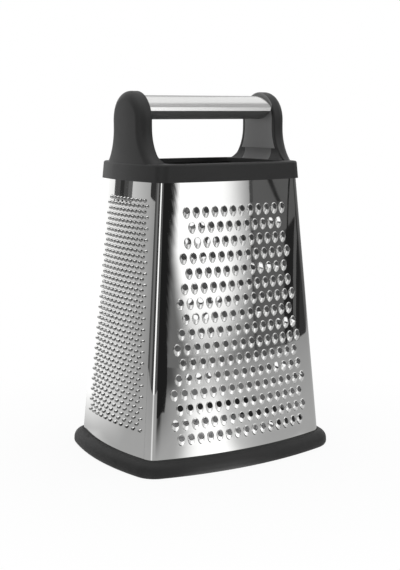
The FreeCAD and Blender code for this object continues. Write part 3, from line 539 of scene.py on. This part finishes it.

# %% Inner faces of the uprights
# They are lightened to a mid grey down to the collar's top: a painted sheen that stands in for light
# glancing off these faces. A box in millimetres marks them.
INNER_LENGTH, INNER_DEPTH, INNER_LOW = 50.4, 16.5, 206.3
tree = soft_touch.node_tree
colour = tree.nodes["Principled BSDF"].inputs["Base Color"]
where = add_node(tree, "TexCoord").outputs["Object"]
inner = within(tree, where, INNER_LENGTH, INNER_DEPTH, INNER_LOW)
# Painted sheen: inside the box the lacquer's tone is swapped for a lighter grey.
tone = add_node(tree, "MixRGB", {0: inner, 1: colour.links[0].from_socket, 2: linear("#828282")})
tree.links.new(tone.outputs[0], colour)
print("inner faces start at", INNER_LOW, "mm")

# %% [markdown]
# ## Finish: zinc-plated steel
# The hidden screws are plated: a cool grey metal, less bright than stainless, with blotches of
# passivation. A plain grey metal would do at a distance, but seen from inside the grater the blotches
# tell a screw from the sheet, so one noise varies both its tone and its gloss.

# %% Zinc-plated steel
zinc, tree, shader, where = start_material("zinc plated steel")
blotch = add_node(tree, "TexNoise", {"Vector": where, "Scale": per_mm(1.5), "Detail": 3.0})
tone = add_node(tree, "MixRGB", {0: blotch.outputs[0], 1: linear("#9FA1A2"), 2: linear("#BDBFC0")})
rough = add_node(tree, "MapRange", {"Value": blotch.outputs[0], "To Min": 0.25, "To Max": 0.45})
connect(tree, shader, tone, rough)
shader.inputs["Metallic"].default_value = 1.0
print(zinc.name, "has", len(tree.nodes), "nodes")

# %% [markdown]
# ## The sheets' outline
# At every height the body's outline is four bowed sides, each an arc of a large circle, joined by
# corner arcs that touch both neighbours. A lofted mesh between two outlines would need its teeth cut
# in afterwards. Here every size runs straight from the sheets' lower edge to their upper edge, so the
# outline is a function of height, and a point on a side is given by its distance across the side and
# its height. Teeth can then be placed on it by numbers alone.

# %% Outline circles
STEEL_LOW, STEEL_HIGH, SHEET, SEAM_GAP = 3.0, 203.0, 0.5, 0.1
# lower edge, upper edge
HALF_LENGTH, HALF_DEPTH = (78.6, 59.8), (61.2, 44.6)
SIDE_BOW, FRONT_BOW, CORNER = (7.0, 4.9), (10.7, 4.5), (10.5, 7.0)


def tapered(sizes, z):
    """A size that runs straight from the lower edge's value to the upper edge's."""
    return sizes[0] + (sizes[1] - sizes[0]) * (z - STEEL_LOW) / (STEEL_HIGH - STEEL_LOW)


def outline(z):
    """Circles of the outline at heights z. A bowed side's radius follows from its half width w and
    bow b as (w*w + b*b) / 2b. A corner's centre is where the two circles, each smaller by the
    corner's radius, cross."""
    length, depth = tapered(HALF_LENGTH, z), tapered(HALF_DEPTH, z)
    side_bow, front_bow, corner = tapered(SIDE_BOW, z), tapered(FRONT_BOW, z), tapered(CORNER, z)
    front_radius = ((length - side_bow) ** 2 + front_bow ** 2) / (2 * front_bow)
    side_radius = ((depth - front_bow) ** 2 + side_bow ** 2) / (2 * side_bow)
    front_y, side_x = front_radius - depth, length - side_radius
    between = np.hypot(side_x, front_y)
    toward_x, toward_y = side_x / between, -front_y / between
    reach_front, reach_side = front_radius - corner, side_radius - corner
    along = (reach_front ** 2 - reach_side ** 2 + between ** 2) / (2 * between)
    across = np.sqrt(reach_front ** 2 - along ** 2)
    corner_x = toward_x * along - toward_y * across
    corner_y = front_y + toward_y * along + toward_x * across
    return {"front_radius": front_radius, "front_y": front_y, "side_radius": side_radius, "side_x": side_x,
            "corner": corner, "corner_x": corner_x, "corner_y": corner_y,
            "front_turn": np.arctan2(corner_x, front_y - corner_y),
            "side_turn": np.arctan2(corner_x - side_x, -corner_y)}


# %% Points on the sides
def facing(turn):
    """Outward direction for a turn from -Y towards +X."""
    return np.stack([np.sin(turn), -np.cos(turn), np.zeros_like(turn)], -1)


def on_front(across, z):
    """Point and outward direction on the front side, by the distance across and the height."""
    circle = outline(z)
    outward = facing(np.arcsin(across / circle["front_radius"]))
    centre = np.stack([np.zeros_like(z), circle["front_y"], z], -1)
    return centre + outward * circle["front_radius"][..., None], outward


def on_left(across, z):
    """The same on the left side, where across runs to the right as seen from outside."""
    circle = outline(z)
    outward = facing(np.arcsin(across / circle["side_radius"]) - np.pi / 2)
    centre = np.stack([-circle["side_x"], np.zeros_like(z), z], -1)
    return centre + outward * circle["side_radius"][..., None], outward


def front_half_width(z):
    """Distance from the middle of the front side to where its corner starts."""
    circle = outline(z)
    return circle["front_radius"] * np.sin(circle["front_turn"])


def left_half_width(z):
    """Distance from the middle of the left side to its seam."""
    circle = outline(z)
    return circle["side_radius"] * np.sin(np.pi / 2 - circle["side_turn"] - SEAM_GAP / circle["side_radius"])


probe = np.array([STEEL_LOW, STEEL_HIGH])
print("half widths, low and high: front", front_half_width(probe).round(2),
      "side", left_half_width(probe).round(2))

# %% Ends of the sheets
CORNER_STEPS = 9


def bent_corners(z):
    """A front or back sheet goes on round its two corners: arcs of the corner circle."""
    circle = outline(z)
    share = np.linspace(0, 1, CORNER_STEPS + 1)[1:]
    turn = circle["front_turn"][:, None] + (circle["side_turn"] - circle["front_turn"])[:, None] * share
    outward = facing(turn)
    centre = np.stack([circle["corner_x"], circle["corner_y"], z], -1)[:, None]
    right = centre + outward * circle["corner"][:, None, None]
    mirror = np.array([-1, 1, 1])
    return ((right * mirror)[:, ::-1], (outward * mirror)[:, ::-1]), (right, outward)


def no_ends(z):
    """A side sheet stops at its seams."""
    nothing = np.zeros((len(z), 0, 3)), np.zeros((len(z), 0, 3))
    return nothing, nothing


# surface, half width and ends of a sheet
FRONT_SIDE = on_front, front_half_width, bent_corners
LEFT_SIDE = on_left, left_half_width, no_ends
print("columns round a corner:", CORNER_STEPS)

# %% [markdown]
# ## Teeth
# A tooth is punched and pushed out of the sheet in one stroke. The hole is an oval with a raised rim.
# Below it the sheet climbs as a scoop to the rim, which is highest there and is the cutting edge. A
# fine burr is the same thing, round and small, pierced from inside. Boolean cuts in a thin sheet
# leave ragged shading, so one tooth is a set of rings from its foot, an egg on the sheet, to the
# hole. A ring is worked out from the angle round the tooth: how far across, how far up, and its lift
# off the sheet. All the teeth of a sheet are the rings of one template, moved to their places at once.

# %% Tooth template
# climb from foot to hole, share of the height reached there, share of the polish lost by drawing
SCOOP = np.array([(0, 0, 0.2), (0.22, 0.45, 0.8), (1, 1, 1)])
SLOT = np.array([(-0.15, 0, 0), (0, 0, 0.3), (0.5, 0.6, 1), (1, 1, 1)])
BURR = np.array([(0, 0, 0), (1, 1, 0.2), (1.3, 1, 0.2)])
FOOT_TAPER = 0.13


def tooth_rings(points, hole, foot, top, lip, profile):
    """Rings of a tooth, counter-clockwise from its right end. hole and foot are ovals: width, height
    and how far the middle is raised; the foot is narrower below. A ring at climb c is the mix of both,
    (1 - c) of the foot and c of the hole. The hole's rim lies in a tilted plane, from the top's height
    to the lip's, and a ring has its share of that height. A climb above 1 goes on inwards, round the
    flat edge of the hole, and one below 0 lies on the sheet round the foot, where it keeps the shading
    flat. The fourth value of a point is its lost polish."""
    turn = np.arange(points) * 2 * np.pi / points
    side, up = np.cos(turn), np.sin(turn)
    c, share, drawn = (column[:, None] for column in profile.T)
    across = ((1 - c) * foot[0] * (1 - FOOT_TAPER * np.maximum(-up, 0)) + c * hole[0]) / 2 * side
    rise = (1 - c) * (foot[2] + foot[1] / 2 * up) + c * (hole[2] + hole[1] / 2 * up)
    lift = share * (top + (lip - top) * (1 - up) / 2)
    return np.stack([across, rise, lift, np.broadcast_to(drawn, lift.shape)], -1)


print("rings of a scoop, a slot and a burr:", len(SCOOP), len(SLOT), len(BURR))

# %% [markdown]
# ## A toothed sheet
# The sheet is one grid of quads whose columns and lines fall on the borders between the teeth.
# Neighbouring rows are half a tooth apart, so a column every quarter of a tooth suits all rows.
# Beside the rows the spare columns share out the bare edge. The cells where teeth go are left out
# of the grid, and each gets the rings of a tooth, joined to the cell's own border points, so the
# skin is closed. The inner skin is the outer one moved in by the sheet's thickness, and walls join
# the two along every free edge, also round every hole. A Solidify modifier could thicken the skin,
# but it would crowd the inside of each small burr, where one wall of quads is enough.

# %% Lines and columns of the grid
SPARE_COLUMNS, LINES_ABOVE, LINES_BELOW = 6, 8, 6


def grid_lines(heights, row_pitch, tall):
    """Heights of the grid's lines from the sheet's upper edge to its lower one, the row of teeth that
    each line belongs to, and how far down that row it lies, from 0 to 1."""
    rows = len(heights)
    row, share = np.repeat(np.arange(rows), tall), np.tile(np.arange(tall) / tall, rows)
    high = np.linspace(STEEL_HIGH, heights[0] + row_pitch / 2, LINES_ABOVE + 1)[:-1]
    low = np.linspace(heights[-1] - row_pitch / 2, STEEL_LOW, LINES_BELOW + 1)
    z = np.r_[high, heights[row] + row_pitch * (0.5 - share), low]
    row = np.r_[np.zeros(len(high), int), row, np.full(len(low), rows)]
    return z, row, np.r_[np.zeros(len(high)), share, np.zeros(len(low))][:, None]


def grid_columns(columns, limit, step, shift, edge):
    """Distances across the sheet, line by line. Up to the limit the columns are a step apart, and the
    ones beyond it share out what is left to the sheet's edge."""
    column = np.arange(-columns, columns + 1)
    limit, step, edge = limit[:, None], step[:, None], edge[:, None]
    last = limit * np.sign(column) * step - shift
    beyond = last + (edge * np.sign(column) - last) * (np.abs(column) - limit) / (columns - limit)
    return np.where(np.abs(column) <= limit, column * step - shift, beyond)


def sheet_grid(side, rows, split):
    """Distances across and heights of the grid, its points and outward directions, and the number of
    columns round a corner. Between two rows of different length the columns shift evenly."""
    surface, half_width, ends = side
    heights, steps, pitch, row_pitch, shift = rows
    reach = split[0] * (steps + 1) // 2
    border = np.maximum(np.r_[reach[0], reach], np.r_[reach, reach[-1]])
    columns = reach.max() + SPARE_COLUMNS
    z, row, share = grid_lines(heights, row_pitch, split[1])
    step, edge = pitch(z) / split[0], half_width(z)
    above = grid_columns(columns, border[row], step, shift, edge)
    below = grid_columns(columns, border[np.minimum(row + 1, len(heights))], step, shift, edge)
    across = above * (1 - share) + below * share
    across[:, 0], across[:, -1] = -edge, edge
    middle, left, right = surface(across, np.broadcast_to(z[:, None], across.shape)), *ends(z)
    points, outward = (np.concatenate([left[k], middle[k], right[k]], 1) for k in (0, 1))
    return across, z, points, outward, left[0].shape[1]


print("lines above and below the teeth:", LINES_ABOVE, LINES_BELOW)


# %% Cells, rings and thickness
def cell_border(across, down):
    """Border points of a cell as (line, column) steps, counter-clockwise from its right middle."""
    half = down // 2
    line = np.r_[np.arange(half, 0, -1), np.zeros(across), np.arange(down), np.full(across, down),
                 np.arange(down, half, -1)]
    column = np.r_[np.full(half, across), np.arange(across, 0, -1), np.zeros(down), np.arange(across),
                   np.full(down - half, across)]
    return line.astype(int), column.astype(int)


def ring_quads(outer, inner):
    """Quads between two rings of point numbers, for every tooth."""
    after_outer, after_inner = np.roll(outer, -1, -1), np.roll(inner, -1, -1)
    return np.stack([outer, after_outer, after_inner, inner], -1).reshape(-1, 4)


def thicken(points, outward, drawn, outer, inner):
    """The inner skin is moved in by the sheet's thickness, turned round and left dull, as rolled. A wall
    goes along every edge that only one outer face has. Points that no face uses are dropped at the end."""
    count = len(points)
    both = np.concatenate([points, points - outward * SHEET])
    edges = np.stack([outer, np.roll(outer, -1, 1)], -1).reshape(-1, 2)
    _, first, uses = np.unique(np.sort(edges, 1), axis=0, return_index=True, return_counts=True)
    free = edges[first[uses == 1]]
    walls = np.stack([free[:, 1], free[:, 0], free[:, 0] + count, free[:, 1] + count], -1)
    used, quads = np.unique(np.concatenate([outer, inner[:, ::-1] + count, walls]), return_inverse=True)
    return both[used], np.where(used < count, drawn[used % count], AS_ROLLED), quads.reshape(-1, 4)


print("points round a cell of 4 by 4:", len(cell_border(4, 4)[0]))


# %% Sheet builder
def toothed_sheet(side, rows, rings, split, between=0):
    """Points, lost polish and quads of one sheet. rows gives the heights of the rows of teeth from the
    top, the steps between the teeth of each, the pitch along a row by height, the pitch of the rows and
    the field's shift. split is the columns and lines per tooth. In a large cell some rings go between
    its border and the tooth, each an even mix of both, so that the skin follows the bow."""
    heights, steps, pitch, _, shift = rows
    wide, tall = split
    across, z, points, outward, bent = sheet_grid(side, rows, split)
    width, grid_count = points.shape[1], points.size // 3

    # The teeth's cells are taken out of the grid, and the points round each of them form a loop.
    which = np.repeat(np.arange(len(heights)), steps + 1)
    place = np.concatenate([np.arange(s + 1) - s / 2 for s in steps])
    first_line = (LINES_ABOVE + which * tall)[:, None]
    first_column = ((across.shape[1] // 2 + place * wide).astype(int) - wide // 2)[:, None]
    kept = np.ones((len(z) - 1, width - 1), bool)
    cell = np.indices((tall, wide)).reshape(2, -1)
    kept[first_line + cell[0], bent + first_column + cell[1]] = False
    line, column = cell_border(wide, tall)
    line, column = first_line + line, first_column + column
    loop = line * width + bent + column

    # The template's rings go to every cell, after the mixes of border and first ring.
    tooth_z = heights[which][:, None, None]
    tooth_across = place[:, None, None] * pitch(tooth_z) - shift + rings[..., 0]
    tooth_up = tooth_z + rings[..., 1]
    mix = (np.arange(1, between + 1) / (between + 1))[:, None]
    mixed_across = (1 - mix) * across[line, column][:, None] + mix * tooth_across[:, :1]
    mixed_up = (1 - mix) * z[line][:, None] + mix * tooth_up[:, :1]
    at, away = side[0](np.concatenate([mixed_across, tooth_across], 1),
                       np.concatenate([mixed_up, tooth_up], 1))
    rings = np.concatenate([np.zeros((between, *rings.shape[1:])), rings])

    # The inner skin follows the rings that lie flat on the sheet, and then goes straight to the hole.
    number = grid_count + np.arange(at.size // 3).reshape(at.shape[:3])
    chain = np.concatenate([loop[:, None], number], 1)
    flat = int((rings[:, :, 2].max(1) == 0).sum())
    grid = grid_faces(len(z), width)[kept]
    outer = np.concatenate([grid, ring_quads(chain[:, :-1], chain[:, 1:])])
    inner = np.concatenate([grid, ring_quads(chain[:, :flat], chain[:, 1:flat + 1]),
                            ring_quads(chain[:, flat], chain[:, -1])])
    drawn = np.concatenate([np.zeros(grid_count), np.tile(rings[..., 3].ravel(), len(which))])
    points = np.concatenate([points.reshape(-1, 3), (at + away * rings[..., 2:3]).reshape(-1, 3)])
    outward = np.concatenate([outward.reshape(-1, 3), away.reshape(-1, 3)])
    print(len(which), "teeth in", len(heights), "rows")
    return thicken(points, outward, drawn, outer, inner)


# %% A sheet in its place
SHARP_EDGE = math.radians(25)


def steel_sheet(name, node, parts, turned=False):
    """Puts a sheet in place of its CAD node, turned half round for the back and right sides."""
    points, drawn, faces = parts
    piece = mesh_object(name, points * ([-1, -1, 1] if turned else [1, 1, 1]), faces)
    piece.data.attributes.new("drawn", "FLOAT", "POINT").data.foreach_set("value", drawn.astype(np.float32))
    piece.data.set_sharp_from_angle(angle=SHARP_EDGE)
    piece.data.materials.append(polished_steel)
    print(name, "has", len(faces), "quads")
    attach(piece, "root")
    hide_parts(node)


# %% [markdown]
# ## Front sheet: medium shredding teeth
# The wide side in the photograph shreds. Its rows of teeth are half a tooth apart, and each row has as many
# teeth as fit between the corners, so the field widens downwards in steps. The teeth could be
# instances on a plain sheet, but then the holes wouldn't go through, so they are part of its skin.

# %% Front sheet
def row_heights(drop, pitch, limit):
    """Heights of the rows, from the top row, a drop below the upper edge, down to a limit."""
    top = STEEL_HIGH - drop
    return top - np.arange(math.floor((top - limit) / pitch) + 1) * pitch


def staggered_rows(heights, pitch, row_pitch, margin):
    """Rows of teeth an even pitch apart. Each row has as many steps between its teeth as fit within the
    margin, odd and even in turn."""
    room = tapered(HALF_LENGTH, heights) - tapered(SIDE_BOW, heights) - tapered(margin, heights)
    steps = np.floor(2 * room / pitch).astype(int)
    steps = steps - (steps + np.arange(len(heights)) - steps[0]) % 2
    return heights, steps, lambda z: np.full_like(z, pitch), row_pitch, 0


MEDIUM_PITCH, MEDIUM_ROW, MEDIUM_MARGIN = 7.08, 10.06, (13.1, 16.84)
MEDIUM_TOOTH = tooth_rings(points=16, hole=(4.1, 4.2, 1.45), foot=(5.4, 8.2, 0.0), top=0.4, lip=1.6,
                           profile=SCOOP)
heights = row_heights(drop=28.9, pitch=MEDIUM_ROW, limit=18.0)
rows = staggered_rows(heights, MEDIUM_PITCH, MEDIUM_ROW, MEDIUM_MARGIN)
steel_sheet("front_sheet", "front_panel", toothed_sheet(FRONT_SIDE, rows, MEDIUM_TOOTH, (4, 4)))

# %% [markdown]
# ## Back sheet: coarse shredding teeth
# The photograph doesn't show the back. A four-sided grater usually has a coarser shredding side there,
# so it is the front's twin with larger teeth, further apart, turned half round.

# %% Back sheet
COARSE_PITCH, COARSE_ROW, COARSE_MARGIN = 11.6, 15.2, (15.0, 17.0)
COARSE_TOOTH = tooth_rings(points=16, hole=(6.8, 6.4, 2.1), foot=(8.6, 12.0, 0.1), top=0.6, lip=2.5,
                           profile=SCOOP)
heights = row_heights(drop=33.0, pitch=COARSE_ROW, limit=20.0)
rows = staggered_rows(heights, COARSE_PITCH, COARSE_ROW, COARSE_MARGIN)
steel_sheet("back_sheet", "back_panel", toothed_sheet(FRONT_SIDE, rows, COARSE_TOOTH, (4, 4)), turned=True)

# %% [markdown]
# ## Left sheet: fine burrs
# The narrow side in the photograph grates finely, with hundreds of small burrs pierced from inside.
# Long and short rows alternate, and the field narrows with the sheet, so the burrs stand closer
# together towards the top. A burr has only 12 points round it, because it is repeated so often.

# %% Left sheet
FINE_PITCH, FINE_ROW, FINE_SHIFT, FINE_MARGIN = 5.6, 3.716, 3.9, (14.4, 17.1)
FINE_BURR = tooth_rings(points=12, hole=(1.8, 1.8, 0.0), foot=(3.0, 3.0, 0.0), top=1.3, lip=1.3,
                        profile=BURR)


def fine_half_width(z):
    """Half the width of the field of burrs: it narrows with the sheet."""
    return tapered(HALF_DEPTH, z) - tapered(FRONT_BOW, z) - tapered(FINE_MARGIN, z)


heights = row_heights(drop=21.25, pitch=FINE_ROW, limit=26.0)
widest = math.floor(2 * fine_half_width(heights[len(heights) // 2]) / FINE_PITCH)
steps = widest - 1 + np.arange(len(heights)) % 2
rows = heights, steps, lambda z: 2 * fine_half_width(z) / widest, FINE_ROW, -FINE_SHIFT
steel_sheet("left_sheet", "left_panel", toothed_sheet(LEFT_SIDE, rows, FINE_BURR, (4, 2)))

# %% [markdown]
# ## Right sheet: slicing slots
# The photograph doesn't show this side either. Graters of this kind have slicing slots on it: wide,
# low holes with a raised lip below. A slot is a very wide tooth, one to a row, in a cell almost as
# wide as the sheet. Rings between the cell's border and the slot keep the mirror even.

# %% Right sheet
SLICE_ROW, SLICE_MARGIN, SLICE_EDGE, SLICE_BETWEEN = 38.0, 11.0, 3.0, 4
heights = row_heights(drop=43.0, pitch=SLICE_ROW, limit=30.0)
slot_width = 2 * (tapered(HALF_DEPTH, heights) - tapered(FRONT_BOW, heights) - SLICE_MARGIN).min()
SLICE_SLOT = tooth_rings(points=64, hole=(slot_width - 4, 4.6, 2.0), foot=(slot_width, 11.0, -0.4),
                         top=0.0, lip=2.3, profile=SLOT)
steps = np.zeros(len(heights), int)
rows = heights, steps, lambda z: 2 * (left_half_width(z) - SLICE_EDGE), SLICE_ROW, 0
parts = toothed_sheet(LEFT_SIDE, rows, SLICE_SLOT, (24, 8), SLICE_BETWEEN)
steel_sheet("right_sheet", "right_panel", parts, turned=True)

# %% [markdown]
# ## Handle, frames and ring
# The collar with its uprights, the inserts, the bar, the two inner frames, the screws and the ring are
# moulded or turned, with rounded edges that the CAD model already has. They could be built anew, but
# that would only copy them, so these pieces keep their CAD meshes and get their finishes.

# %% Finishes on the CAD pieces
FINISHES = {
    "handle_frame": soft_touch,
    "left_upright_cover": insert_grey_and_painted_sheen,
    "right_upright_cover": insert_grey_and_painted_sheen,
    "handle_bar_core": black_beam_painted_sheen,
    "handle_bar_shell": satin_steel,
    "handle_tie_screws": zinc,
    "top_clamp_frame": plain_plastic,
    "top_clamp_screws": zinc,
    "base_frame": plain_plastic,
    "base_foot_ring": foot_rubber,
}
for name, finish in FINISHES.items():
    nodes[name].data.materials.clear()
    nodes[name].data.materials.append(finish)
print("dressed CAD nodes:", len(FINISHES))
